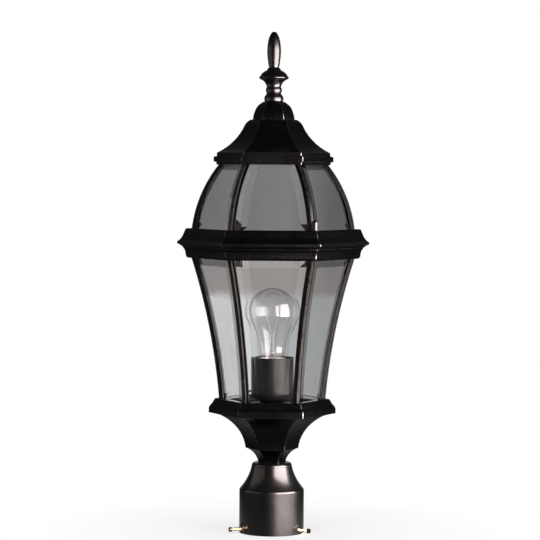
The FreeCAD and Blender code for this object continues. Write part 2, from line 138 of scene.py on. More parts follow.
def outline(points, fillet, closed=True):
    """Points, outward directions and edge marks along an outline, turning left.

    A corner C that turns by the angle g becomes the curve (1 - u)^2 A + 2 u (1 - u) C + u^2 B between two
    points A and B set back from it by fillet * tan(g / 2), with directions that swing from one side's to
    the other's. The mark is 0 on the runs and up to 1 in the middle of a corner.
    """
    here, runs = points[0], []
    for point in [*points[1:], points[0]] if closed else points[1:]:
        there = point[-2:]
        if math.dist(here, there) > 1e-6:
            runs.append(arc_run(here, point[:2], there) if len(point) == 4 else straight_run(here, there))
        here = there
    loop = np.concatenate([line[:-1] for line, _ in runs] + [runs[-1][0][-1:]])
    area = np.sum(loop[:, 0] * np.roll(loop[:, 1], -1) - np.roll(loop[:, 0], -1) * loop[:, 1])
    spread = np.array([0.25, 0.5, 0.75])[:, None]
    lines, sides, marks = [], [], []
    for index, (line, side) in enumerate(runs):
        lines.append(line.copy())
        sides.append(side)
        marks.append(np.zeros(len(line)))
        if index == len(runs) - 1 and not closed:
            break
        after, after_side = runs[(index + 1) % len(runs)]
        turn = math.acos(np.clip(side[-1] @ after_side[0], -1, 1))
        if turn < TANGENT:
            side[-1] = after_side[0] = unit(side[-1] + after_side[0])
            continue
        corner, back, ahead = line[-1], line[-2] - line[-1], after[1] - after[0]
        room = 0.4 * min(np.linalg.norm(back), np.linalg.norm(ahead))
        cut = min(fillet * math.tan(turn / 2), room)
        start, end = corner + cut * unit(back), corner + cut * unit(ahead)
        lines[-1][-1] = start
        lines.append((1 - spread) ** 2 * start + 2 * spread * (1 - spread) * corner + spread ** 2 * end)
        sides.append(unit((1 - spread) * side[-1] + spread * after_side[0]))
        marks.append(4 * spread[:, 0] * (1 - spread[:, 0]) * min(1, turn))
        runs[(index + 1) % len(runs)] = (np.concatenate([[end], after[1:]]), after_side)
        if index == len(runs) - 1:
            lines[0][0] = end
    line, side, mark = (np.concatenate(part) for part in (lines, sides, marks))
    return (line, side, mark) if area > 0 else (line[::-1], -side[::-1], mark[::-1])


def capped(r, z, top):
    """The end of a round outline: an arc from (r, z) to the axis at top, with its centre on the axis."""
    rise = top - z
    radius = (r ** 2 + rise ** 2) / (2 * rise)
    centre = top - radius
    middle = (math.asin((z - centre) / radius) + math.pi / 2) / 2
    return radius * math.cos(middle), centre + radius * math.sin(middle), 0, top


# ---- surfaces, in millimetres: points, outward directions, edge marks and the ways their grid closes ----

def turned(r, z, t):
    """(r cos t, r sin t, z): points or directions carried about the vertical axis."""
    return np.stack([r * np.cos(t), r * np.sin(t), z + 0 * t], -1)


def lathe(points, fillet, around=96):
    """P(s, t) = (r(s) cos t, r(s) sin t, z(s)): the outline turned about the vertical axis.

    An outline from the axis to the axis isn't closed along it.
    """
    closed = points[0][0] > 0 or points[-1][-2] > 0
    line, side, mark = outline(points, fillet, closed)
    t = np.linspace(0, math.tau, around, endpoint=False)
    grid, out = (turned(part[:, :1], part[:, 1:], t) for part in (line, side))
    return grid, out, mark[:, None] + 0 * t, (closed, True)


def mitred(points, fillet, corner_round):
    """A moulding carried round a hexagon whose corners are rounded.

    With apothem a(s) and height z(s) of the outline, a point on the round of the corner in direction c,
    heading along h, is (a - q) / cos 30 * c + q * h, q being the round. The flats join the rounds.
    """
    squeezed = [tuple(v * FLAT if k % 2 == 0 else v for k, v in enumerate(p)) for p in points]
    line, side, mark = outline(squeezed, fillet)
    lean = np.linspace(-STEP / 2, STEP / 2, 7)
    corner = np.repeat(FRONT_CORNER + STEP * np.arange(SIDES), len(lean))
    heading = corner + np.tile(lean, SIDES)
    q = np.minimum(corner_round, line[:, :1] / 2)
    reach = (line[:, :1] - q) / FLAT
    grid = turned(reach, line[:, 1:], corner) + turned(q, 0 * q, heading)
    rise = side[:, 1:] * np.tile(np.cos(lean), SIDES) / FLAT
    out = unit(turned(side[:, :1], rise, heading))
    on_corner = np.tile(1 - np.abs(lean) / (STEP / 2), SIDES)
    return grid, out, np.maximum(mark[:, None], on_corner), (True, True)


def cage_radius(curve, z):
    """Corner radius R(z) = c + k sqrt(q^2 - (z - h)^2) of a cage outline, k its sign, and its slope R'(z)."""
    centre, height, radius = curve
    reach = np.copysign(np.sqrt(radius ** 2 - (z - height) ** 2), radius)
    return centre + reach, -(z - height) / reach


def rib(curve, low, high, fillet, rows=48):
    """The rib on the corner at +X: P(z, s) = (R(z) + x(s), y(s), z), with its ends closed to a point.

    At a depth d below the corner and a distance y beside it the section is x = -d - |y| tan 30, and an arc
    crowns the bar between its two edges. The mark is 1 on that crown, where the finish paints a sheen.
    """
    half_bar, stand_out = RIB_BAR[0] / 2, RIB_BAR[1]
    flange, web = RIB_FLANGE[0], RIB_WEB / 2
    edge, crown = RIB_CROWN
    half = [
        (half_bar, stand_out), (flange, stand_out), (flange, RIB_DEPTH), (web, RIB_DEPTH),
        (web, RIB_DEPTH + GLASS),
    ]
    section = [(-edge, -half_bar), (-crown, 0, -edge, half_bar)] + [(-d - y * MITRE, y) for y, d in half]
    section += [(-d - y * MITRE, -y) for y, d in reversed(half)]
    line, side, _ = outline(section, fillet)
    mark = (line[:, 0] > -1.4 * edge) * 1.0  # the fillets beside the crown dip below its edges
    z = np.linspace(low, high, rows)[:, None]
    radius, slope = cage_radius(curve, z)
    body = np.stack([radius + line[:, 0], line[:, 1] + 0 * z, z + 0 * line[:, 0]], -1)
    out = unit(np.stack([side[:, 0] + 0 * z, side[:, 1] + 0 * z, -side[:, 0] * slope], -1))
    middle = np.array([(stand_out + RIB_DEPTH) / -2, 0, 0])
    foot, head = (np.array([radius[k, 0], 0, z[k, 0]]) + middle + 0 * body[k] for k in (0, -1))
    down, up = (np.array([0, 0, s]) + 0 * out[0] for s in (-1.0, 1.0))
    grid = np.concatenate([[foot, body[0]], body, [body[-1], head]])
    sides = np.concatenate([[down, down], out, [up, up]])
    return grid, sides, mark + np.zeros((len(grid), 1)), (False, True)


def heights_along(curve, low, high, foot, top, count):
    """Heights at equal steps along a cage outline, from foot past its lower end to top short of its end."""
    z = np.linspace(low, high, 400)
    radius, _ = cage_radius(curve, z)
    length = np.concatenate([[0], np.cumsum(np.hypot(np.diff(radius * FLAT), np.diff(z)))])
    return np.interp(np.linspace(foot, length[-1] - top, count), length, z)


def pane(curve, low, high, foot, top, rows=40):
    """A bent pane facing +X, bevelled all round, as eight lines up its height and three quads at each end.

    At height z the outer face is at x = (R(z) - depth) cos 30 and its side edge at
    y = (x - 2 inset) tan 30, parallel to the mitre. foot and top are how far the bevels at its ends reach.
    The mark is 1 on the bevels save the foot's, and changes over the short step to the flat. On these
    bevels the glass paints light and shade.
    """
    inset = RIB_WEB / 2 + GLASS_GAP
    width, drop = BEVEL

    def up(share, depth, inward, more=0.0):
        z = heights_along(curve, low, high, share * foot + more, share * top + more, rows)
        radius, _ = cage_radius(curve, z)
        x = (radius - RIB_DEPTH) * FLAT - depth
        return np.stack([x, (x - 2 * inset) * MITRE - inward, z], -1)

    half = [up(0, GLASS, 0), up(0, drop, 0), up(1, 0, width), up(1, 0, width + FLAT_STEP, FLAT_STEP)]
    mirror = np.array([1, -1, 1])
    grid = np.stack([line * mirror for line in half] + half[::-1], 1)
    end = np.array([[k, 7 - k, 6 - k, k + 1] for k in range(3)])
    faces = [grid_faces(grid.shape, (False, True)), end, end[:, ::-1] + (rows - 1) * 8]
    mark = np.tile([0.0, 1, 1, 0, 0, 1, 1, 0], (rows, 1))
    mark[0] = 0
    return grid, None, mark, np.concatenate(faces)


def fitter_body(fillet, pad=(5.6, 7.4, 1.4), spread=0.5):
    """The fitter turned as lathe() does, with r raised by pad's height where a point is inside a pad.

    A pad is the strip |y| < w up to the height h, with a round end about (0, h). Its edge is the smooth
    step 3 f^2 - 2 f^3 of the distance outside it over spread.
    """
    half_width, centre, height = pad
    wall_r, top = 40.3, 15.0
    wall = [(wall_r, z) for z in np.linspace(top, 0.8, 40)]
    line, side, mark = outline([
        (5.3, 87.4), (20.5, 87.4), (24.0, 86.2, 25.0, 82.8), (29.0, 71.0, 38.3, 56.3), (39.1, 55.3),
        (40.0, 54.1, wall_r, 52.6), *wall, (wall_r, 0), (38.5, 0), (38.5, 50.5),
        (27.6, 68.5, 23.2, 81.5), (22.4, 84.9), (5.3, 84.9),
    ], fillet)
    beside_pads = np.add.outer(SCREW_ANGLES, np.radians(np.linspace(-12, 12, 61)))
    t = np.sort(np.concatenate([beside_pads, np.radians(np.arange(-180, 180, 4))], axis=None))

    def raised(t, z):
        lift = 0
        for angle in SCREW_ANGLES:
            y = wall_r * np.sin(t - angle)
            outside = np.hypot(y, np.maximum(z - centre, 0)) - half_width
            f = np.clip(0.5 - outside / spread, 0, 1)
            lift = lift + height * f * f * (3 - 2 * f) * (np.cos(t - angle) > 0)
        return lift

    r, z = line[:, :1], line[:, 1:]
    on_wall = ((r > wall_r - 0.01) & (z < top)) * 1.0
    tiny = 1e-3
    lift = on_wall * raised(t, z)
    across = on_wall * (raised(t + tiny / wall_r, z) - raised(t - tiny / wall_r, z)) / (2 * tiny)
    along = on_wall * (raised(t, z + tiny) - raised(t, z - tiny)) / (2 * tiny)
    grid = turned(r + lift, z, t)
    ox = side[:, :1] * np.cos(t) + across * np.sin(t)
    oy = side[:, :1] * np.sin(t) - across * np.cos(t)
    out = unit(np.stack([ox, oy, side[:, 1:] - along], -1))
    edge = np.clip(np.hypot(across, along), 0, 1)
    return grid, out, np.maximum(mark[:, None] + 0 * t, edge), (True, True)


def tube(path, radius, around=10):
    """P(s, t) = path(s) + r (n(s) cos t + b(s) sin t), n and b square to the path, closed at both ends."""
    along = unit(np.gradient(path, axis=0))
    askew = (0.31, 0.17, 0.93)  # a direction that no path here follows
    n = unit(np.cross(along, askew))
    b = np.cross(along, n)
    t = np.linspace(0, math.tau, around, endpoint=False)[:, None]
    rings = path[:, None] + radius * (n[:, None] * np.cos(t) + b[:, None] * np.sin(t))
    ends = [np.repeat(path[k:k + 1, None], around, 1) for k in (0, len(path) - 1)]
    return np.concatenate([ends[0], rings, ends[1]])


def threaded(low, high, radius, depth, pitch, around=32):
    """A screwed shank along +X: r = R - depth * |2 frac(x / pitch - t / 2 pi) - 1|, closed at both ends."""
    x = np.linspace(low, high, max(8, round(8 * (high - low) / pitch)))[:, None]
    t = np.linspace(0, math.tau, around, endpoint=False)
    phase = (x / pitch - t / math.tau) % 1
    r = radius - depth * np.abs(2 * phase - 1)
    r = np.concatenate([0 * r[:1], r, 0 * r[:1]])
    x = np.concatenate([x[:1], x, x[-1:]])
    return np.stack([x + 0 * r, r * np.cos(t), r * np.sin(t)], -1)


def slotted_head(low, high, radius, slot, chamfer=0.2, strips=14):
    """A round head along +X cut in strips parallel to its slot: at y the half chord is sqrt(R^2 - y^2)."""
    half_slot, floor = slot[0] / 2, high - slot[1]
    a = np.linspace(0, 1, strips)
    beside = half_slot + (radius - half_slot) * np.sin(a * math.pi / 2)
    inside = half_slot * (1 - 1e-3)
    y = np.concatenate([-beside[::-1], [-inside, inside], beside])
    top = np.where(np.abs(y) < half_slot, floor, high)
    chord = np.sqrt(np.maximum(radius ** 2 - y ** 2, 0))
    inner = np.maximum(chord - chamfer, 0)
    x = np.stack([0 * y + low, top - chamfer, top, top, top - chamfer, 0 * y + low], -1)
    z = np.stack([-chord, -chord, -inner, inner, chord, chord], -1)
    return np.stack([x, y[:, None] + 0 * x, z], -1)[::-1]


def threaded_cap(pitch, depth=0.55, fade=1.5, rows=56):
    """The bulb's cap turned as lathe() does, its wall drawn in by d (1 - cos(2 pi z / pitch - t)) / 2."""
    wall_r, low, high = 13.1, 199.0, 212.5
    wall = [(wall_r, z) for z in np.linspace(low, high, rows)]
    grid, out, mark, closed = lathe([
        (0, 190.6), (4.2, 190.6), (5.4, 192.6), (9.4, 194.2), (12.4, 197.4), *wall, (wall_r, 214), (0, 214),
    ], 0.2)
    t = np.linspace(0, math.tau, grid.shape[1], endpoint=False)
    z = grid[..., 2]
    on_wall = np.clip((z - low) / fade, 0, 1) * np.clip((high - z) / fade, 0, 1)
    phase = math.tau * z / pitch - t
    draw = on_wall * depth * (1 - np.cos(phase)) / 2
    slope = on_wall * depth * np.sin(phase) / 2 * math.tau / pitch
    grid = grid - turned(draw, 0 * z, t)
    out = unit(out + slope[..., None] * np.array([0, 0, 1]))
    return grid, out, mark, closed


def filament(spread=8.0, foot=249.0, top=270.0, rise=3.0, turns=34, coil_r=0.6):
    """Two support wires, and a coil C(u) + r (e cos k u + m(u) sin k u) about the arch C between them."""
    wires = []
    for side in (-1, 1):
        u = np.linspace(0, 1, 12)[:, None]
        start, end = np.array([side * 1.2, 0, foot]), np.array([side * spread, 0, top])
        wires.append(tube(start + (end - start) * u ** 1.15, 0.3))
    u = np.linspace(-1, 1, turns * 14)
    arch = np.stack([spread * u, 0 * u, top + rise * (1 - u ** 2)], -1)
    along = unit(np.gradient(arch, axis=0))
    beside = np.array([0, 1.0, 0])
    upward = np.cross(along, beside)
    turn = (math.pi * turns * u)[:, None]
    coil = arch + coil_r * (beside * np.cos(turn) + upward * np.sin(turn))
    return wires + [tube(coil, 0.13, 6)]


# ---- meshes ----

def grid_faces(shape, closed):
    """Quads (i, j), (i, j + 1), (i + 1, j + 1), (i + 1, j) of a grid, which may close on itself both ways."""
    rows, columns = shape[:2]
    i, j = np.meshgrid(np.arange(rows - (not closed[0])), np.arange(columns - (not closed[1])), indexing="ij")
    below, beside = (i + 1) % rows * columns, (j + 1) % columns
    quads = [i * columns + j, i * columns + beside, below + beside, below + j]
    return np.stack(quads, -1).reshape(-1, 4)


def turned_to(vectors, angle):
    """Points or directions turned about the vertical axis."""
    c, s = math.cos(angle), math.sin(angle)
    return vectors @ np.array([[c, s, 0], [-s, c, 0], [0, 0, 1]])


def put_object(name, data):
    """A new object in the scene."""
    thing = bpy.data.objects.new(name, data)
    bpy.context.scene.collection.objects.link(thing)
    return thing


def put_mesh(name, parts, slot, body, node, angle=0.0, finish=None, sharp=SHARP):
    """Welds grids into one mesh object with its finish, on its body and in place of its node.

    A part is (points, directions or None, marks, faces). Corners that fall together, as at a pole, are
    dropped from their faces. Without directions, faces that meet at more than sharp are creased.
    """
    points, out, marks, faces, start = [], [], [], [], 0
    for grid, direction, mark, quads in parts:
        points.append(grid.reshape(-1, 3))
        out.append((grid * 0 if direction is None else direction).reshape(-1, 3))
        marks.append(mark.ravel())
        faces.append(quads + start)
        start += mark.size
    points = turned_to(np.concatenate(points) * MM, angle)
    out, marks, faces = turned_to(np.concatenate(out), angle), np.concatenate(marks), np.concatenate(faces)
    _, first, welded = np.unique(np.round(points / WELD), axis=0, return_index=True, return_inverse=True)
    corners = welded.reshape(-1)[faces]
    kept = corners != np.roll(corners, 1, axis=1)
    kept &= kept.sum(1, keepdims=True) >= 3
    sizes = kept.sum(1)
    sizes = sizes[sizes > 0]
    mesh = bpy.data.meshes.new(name)
    mesh.from_pydata(points[first], [], np.split(corners[kept], np.cumsum(sizes)[:-1]))
    mesh.polygons.foreach_set("use_smooth", np.ones(len(sizes), bool))
    edge = mesh.attributes.new("edge", "FLOAT", "POINT")
    edge.data.foreach_set("value", marks[first].astype(np.float32))
    if parts[0][1] is None:
        mesh.set_sharp_from_angle(angle=sharp)
    else:
        mesh.normals_split_custom_set(out[faces][kept])
    mesh.materials.append(bpy.data.materials[finish or slot])
    piece = put_object(name, mesh)
    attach(piece, body)
    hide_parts(node)


def put_surface(name, surface, slot, body, node, angle=0.0, finish=None):
    """A mesh object from one surface."""
    grid, out, mark, closed = surface
    part = grid, out, mark, grid_faces(grid.shape, closed)
    put_mesh(name, [part], slot, body, node, angle, finish)


def plain_part(grid, mark=0.0):
    """A grid whose columns close, as a part without directions and with one mark all over."""
    return grid, None, grid[..., 0] * 0 + mark, grid_faces(grid.shape, (False, True))


# ---- finishes ----

def new_group(name, inputs, outputs):
    """A new shader group with its sockets, its input node and its output node."""
    tree = bpy.data.node_groups.new(name, "ShaderNodeTree")
    for kind, sockets in (("INPUT", inputs), ("OUTPUT", outputs)):
        for label, socket_type, default in sockets:
            socket = tree.interface.new_socket(label, in_out=kind, socket_type="NodeSocket" + socket_type)
            if default is not None:
                socket.default_value = default
    return tree, tree.nodes.new("NodeGroupInput"), tree.nodes.new("NodeGroupOutput")


def feed(tree, node, links):
    """Links other nodes' sockets to a node's inputs, and sets its inputs to the plain values."""
    for key, source in links.items():
        if isinstance(source, bpy.types.NodeSocket):
            tree.links.new(source, node.inputs[key])
        else:
            node.inputs[key].default_value = source


def add_node(tree, kind, links=None, **settings):
    """A node with its settings, and with its inputs fed from links."""
    node = tree.nodes.new("ShaderNode" + kind)
    for key, value in settings.items():
        setattr(node, key, value)
    feed(tree, node, links or {})
    return node


def add_group(tree, name, **links):
    return add_node(tree, "Group", links, node_tree=bpy.data.node_groups[name]).outputs


def edge_mark(tree):
    """The mesh's mark: its edges, a rib's crown, a pane's bevels or a screw's head."""
    return add_node(tree, "Attribute", attribute_name="edge").outputs["Fac"]


def calculate(tree, operation, a, b=0.0, clamp=False):
    return add_node(tree, "Math", {0: a, 1: b}, operation=operation, use_clamp=clamp).outputs[0]


def blend_values(tree, factor, a, b):
    return add_node(tree, "Mix", {0: factor, 2: a, 3: b}).outputs[0]


def blend_colours(tree, factor, a, b):
    return add_node(tree, "Mix", {0: factor, 6: a, 7: b}, data_type="RGBA").outputs[2]


def ramp(tree, value, low, high, to_low=0.0, to_high=1.0):
    """value carried from low..high to to_low..to_high, and held there beyond."""
    links = {"Value": value, "From Min": low, "From Max": high, "To Min": to_low, "To Max": to_high}
    return add_node(tree, "MapRange", links).outputs["Result"]


def noise_of(tree, size, detail):
    """Noise on Object coordinates with features of the given size in metres."""
    where = add_node(tree, "TexCoord").outputs["Object"]
    scale = calculate(tree, "DIVIDE", 1.0, size)
    return add_node(tree, "TexNoise", {"Vector": where, "Scale": scale, "Detail": detail}).outputs["Fac"]


def make_grain_group():
    """Powder coat grain: noise and finer cells together, as a mask and as a bumped normal."""
    tree, given, result = new_group(
        "Powder Grain",
        [("Size", "Float", 0.001), ("Depth", "Float", 0.0001)],
        [("Grain", "Float", None), ("Normal", "Vector", None)],
    )
    size = given.outputs["Size"]
    noise = noise_of(tree, size, 3.0)
    where = add_node(tree, "TexCoord").outputs["Object"]
    cell_scale = calculate(tree, "DIVIDE", 2.7, size)
    cells = add_node(tree, "TexVoronoi", {"Vector": where, "Scale": cell_scale}).outputs["Distance"]
    both = blend_values(tree, 0.35, noise, cells)
    bump = add_node(tree, "Bump", {"Height": both, "Distance": given.outputs["Depth"]})
    feed(tree, result, {"Grain": ramp(tree, both, 0.35, 0.65), "Normal": bump.outputs["Normal"]})


def make_edge_group():
    """Rubbed edges, and on the ribs a painted sheen: the mesh's edge mark broken up by noise."""
    tree, given, result = new_group(
        "Rubbed Edges",
        [("Amount", "Float", 0.5), ("Size", "Float", 0.006)],
        [("Mask", "Float", None)],
    )
    patches = ramp(tree, noise_of(tree, given.outputs["Size"], 4.0), 0.3, 0.6)
    on_edge = calculate(tree, "MULTIPLY", edge_mark(tree), patches)
    feed(tree, result, {"Mask": calculate(tree, "MULTIPLY", on_edge, given.outputs["Amount"], clamp=True)})


def make_cloud_group():
    """Slow unevenness of a coat: a value that wanders between Low and High."""
    tree, given, result = new_group(
        "Coat Clouds",
        [("Size", "Float", 0.03), ("Low", "Float", 0.3), ("High", "Float", 0.4)],
        [("Value", "Float", None)],
    )
    noise = noise_of(tree, given.outputs["Size"], 5.0)
    feed(tree, result, {"Value": ramp(tree, noise, 0.3, 0.7, given.outputs["Low"], given.outputs["High"])})


def new_finish(slot):
    """A new material, in place of a packed one of its name: its tree and its Principled shader."""
    material = bpy.data.materials.get(slot)
    if material is not None:
        material.name = slot + ".packed"
    material = bpy.data.materials.new(slot)
    material.use_nodes = True
    return material.node_tree, material.node_tree.nodes["Principled BSDF"]


def black_coat(slot, colour, mark_colour, grain, rough, edge, level):
    """A black coat with grain (size, depth, paleness) and cloudy roughness (low, high, rubbed).

    edge is how much of its marked places takes the mark colour, and how metallic they are there: rubbed
    edges, and on the ribs a painted sheen down the bar's crown.
    """
    tree, shader = new_finish(slot)
    size, depth, paler = grain
    grained = add_group(tree, "Powder Grain", Size=size, Depth=depth)
    # Rubbed edges, and on the ribs the crown of the bar, where it paints a sheen.
    rubbed = add_group(tree, "Rubbed Edges", Amount=edge[0])["Mask"]
    clouds = add_group(tree, "Coat Clouds", Low=rough[0], High=rough[1])["Value"]
    pale = tuple(paler * c for c in colour)
    speckled = blend_colours(tree, grained["Grain"], (*colour, 1), (*pale, 1))
    feed(tree, shader, {
        "Base Color": blend_colours(tree, rubbed, speckled, (*mark_colour, 1)),
        "Roughness": blend_values(tree, rubbed, clouds, rough[2]),
        "Metallic": calculate(tree, "MULTIPLY", rubbed, edge[1], clamp=True),
        "Normal": grained["Normal"],
        "Specular IOR Level": level,
    })


def bare_metal(slot, colour, rough, scratches, marked=None):
    """Bare metal with cloudy roughness and fine unevenness, and of another colour where it is marked."""
    tree, shader = new_finish(slot)
    clouds = add_group(tree, "Coat Clouds", Size=0.004, Low=rough[0], High=rough[1])["Value"]
    grained = add_group(tree, "Powder Grain", Size=0.0004, Depth=scratches)
    dull = tuple(0.72 * c for c in colour)
    toned = blend_colours(tree, grained["Grain"], (*colour, 1), (*dull, 1))
    if marked is not None:
        toned = blend_colours(tree, edge_mark(tree), toned, (*marked, 1))
    normal = grained["Normal"]
    feed(tree, shader, {"Base Color": toned, "Roughness": clouds, "Normal": normal, "Metallic": 1.0})


def blown_glass(tree, shader, tint, ior, wave, glare):
    """Tinted glass that bends light, gently wavy, and lets lamp light through to what is behind it.

    wave is the size and depth of its waves, and glare the share of its own reflections that shows.
    """
    size, depth = wave
    swell = noise_of(tree, size, 1.0)
    bump = add_node(tree, "Bump", {"Height": swell, "Distance": depth}).outputs["Normal"]
    feed(tree, shader, {
        "Normal": bump, "Roughness": 0.0, "IOR": ior, "Transmission Weight": 1.0, "Specular Tint": glare,
    })
    path = add_node(tree, "LightPath").outputs["Is Shadow Ray"]
    clear = add_node(tree, "BsdfTransparent", {"Color": (*tint, 1)}).outputs[0]
    mix = add_node(tree, "MixShader", {0: path, 1: shader.outputs[0], 2: clear}).outputs[0]
    feed(tree, tree.nodes["Material Output"], {"Surface": mix})


def pane_glass(slot, foot, top, heights):
    """Pane glass with painted light and shade: a tint that changes from foot to top between two
    heights, and bevels painted lighter or, at a slant, darker.

    foot and top are a tint and the multiples of it at the lantern's left and its right, which paint
    the panes lighter or darker there.
    """
    tree, shader = new_finish(slot)
    where = add_node(tree, "TexCoord").outputs["Object"]
    axes = add_node(tree, "SeparateXYZ", {0: where}).outputs

    # A tint scaled towards the lantern's left and right: painted light and shade on the sides.
    def across(tint, at_left, at_right):
        left = ramp(tree, axes["X"], PANE_MIDDLE, -PANE_SIDE, 1.0, at_left)
        right = ramp(tree, axes["X"], PANE_MIDDLE, PANE_SIDE, 1.0, at_right)
        share = calculate(tree, "MULTIPLY", left, right)
        return add_node(tree, "VectorMath", {0: tuple(tint), 3: share}, operation="SCALE").outputs[0]

    # Painted light: the lower panes are lighter below the first height than above the second.
    rise = ramp(tree, axes["Z"], *heights)
    tint = blend_colours(tree, rise, across(*foot), across(*top))
    # The bevels are painted lighter, and painted darker where they are seen at a slant: painted light and
    # shade.
    slant = ramp(tree, add_node(tree, "LayerWeight", {"Blend": 0.5}).outputs["Facing"], *SLANT)
    tone = blend_colours(tree, slant, BEVEL_PAINTED_LIGHT, SLANT_PAINTED_SHADE)
    bevelled = add_node(tree, "Mix", {0: 1.0, 6: tint, 7: tone}, data_type="RGBA", blend_type="MULTIPLY")
    feed(tree, shader, {"Base Color": blend_colours(tree, edge_mark(tree), tint, bevelled.outputs[2])})
    blown_glass(tree, shader, top[0], 1.5, (0.09, 0.0002), GLARE)


def bulb_glass(slot, tint):
    tree, shader = new_finish(slot)
    feed(tree, shader, {"Base Color": (*tint, 1)})
    blown_glass(tree, shader, tint, 1.7, (0.03, 0.0001), (1, 1, 1, 1))


def porcelain(slot, colour):
    tree, shader = new_finish(slot)
    clouds = add_group(tree, "Coat Clouds", Size=0.01, Low=0.14, High=0.26)["Value"]
    tone = add_group(tree, "Coat Clouds", Size=0.006, Low=0.0, High=1.0)["Value"]
    warm = tuple(0.94 * c for c in colour)
    mixed = blend_colours(tree, tone, (*colour, 1), (*warm, 1))
    feed(tree, shader, {"Base Color": mixed, "Roughness": clouds})


# ---- settings ----

def length(name, description, default):
    return FloatProperty(name=name, description=description, default=default, min=0, unit="LENGTH")


def power(name, description, default):
    return FloatProperty(name=name, description=description, default=default, min=0, unit="POWER")


def colour(name, description, default):
    return FloatVectorProperty(name=name, description=description, default=default, min=0, max=1,
                               size=3, subtype="COLOR")


class LanternShape(bpy.types.PropertyGroup):
    """Sizes that finish the forms."""
    edge_round: length("Edge round", "Radius on the edges of the castings", 0.0005)
    mitre_round: length("Mitre round", "Radius down the six corners of the castings", 0.0011)
    rib_round: length("Rib round", "Radius on the edges of the ribs", 0.00035)
    turned_round: length("Turned round", "Radius on the edges of the turned pieces", 0.0004)
    thread_pitch: length("Thread pitch", "Pitch of the set screws' threads", 0.0008)
    cap_pitch: length("Cap thread pitch", "Pitch of the bulb cap's rolled thread", 0.00363)


class LanternFinish(bpy.types.PropertyGroup):
    """Colours and gloss."""
    cast_colour: colour("Castings", "Powder coat of the castings", (0.001, 0.001, 0.001))
    enamel_colour: colour("Enamel", "Satin enamel of the round pieces", (0.002, 0.0017, 0.0016))
    rib_colour: colour("Ribs", "Coat of the ribs", (0.0025, 0.0022, 0.0021))
    # The bars' lighter colour is a painted sheen down their crowns.
    bar_painted_sheen: colour("Rib bars", "Coat on the raised bars of the ribs", (0.03, 0.024, 0.022))
    rubbed_colour: colour("Rubbed edges", "Coat where it is rubbed", (0.2, 0.19, 0.185))
    dome_tint: colour("Dome glass", "Tint of a pane of the dome", (0.45, 0.447, 0.448))
    cage_tint: colour("Cage glass", "Tint of a pane of the lower cage at its top", (0.55, 0.535, 0.53))
    # The foot's lighter tint is painted light.
    cage_foot_painted_light_tint: colour("Cage glass foot", "Tint of a pane of the lower cage at its foot",
                           (0.60, 0.605, 0.61))
    bulb_tint: colour("Bulb glass", "Tint of the bulb", (0.93, 0.93, 0.93))
    brass_colour: colour("Brass", "Shanks of the set screws", (0.85, 0.68, 0.42))
    head_colour: colour("Screw heads", "Darkened heads of the set screws", (0.035, 0.028, 0.022))
    porcelain_colour: colour("Porcelain", "Lamp holder", (0.86, 0.85, 0.82))


class LanternStage(bpy.types.PropertyGroup):
    """Where the camera stands and how bright the lamps are."""
    camera_at: FloatVectorProperty(name="Camera", description="Where the camera stands", size=3,
                                   default=(0.0720, -2.7817, 0.4443), subtype="TRANSLATION")
    camera_turn: FloatVectorProperty(name="Camera turn", description="Tilt, roll and heading", size=3,
                                     default=(math.pi / 2 - 0.04204, -0.00565, 0.0274), subtype="EULER")
    camera_lens: FloatProperty(name="Lens", description="Focal length on a 36 mm sensor", default=149.24)
    lamp_power: power("Lamps", "Power of the soft lamps", 18.0)
    bright_card: power("Right cards", "Power of the cards on the right", 90.0)
    dim_card: power("Left card", "Power of the card on the left", 4.0)


def shape(name):
    """A size of the shape settings, in millimetres."""
    return getattr(bpy.context.scene.lantern_shape, name) / MM


def put_casting(name, points, body, node):
    """A casting carried round the hexagon, with the rounds of the shape settings."""
    put_surface(name, mitred(points, shape("edge_round"), shape("mitre_round")), "cast_black", body, node)


def put_turning(name, points, slot, body, node, finish=None):
    """A turned piece with the round of the shape settings."""
    put_surface(name, lathe(points, shape("turned_round")), slot, body, node, finish=finish)


# ---- the pieces ----

class PieceOperator:
    """What every operator shares."""
    bl_options = {"REGISTER", "UNDO"}


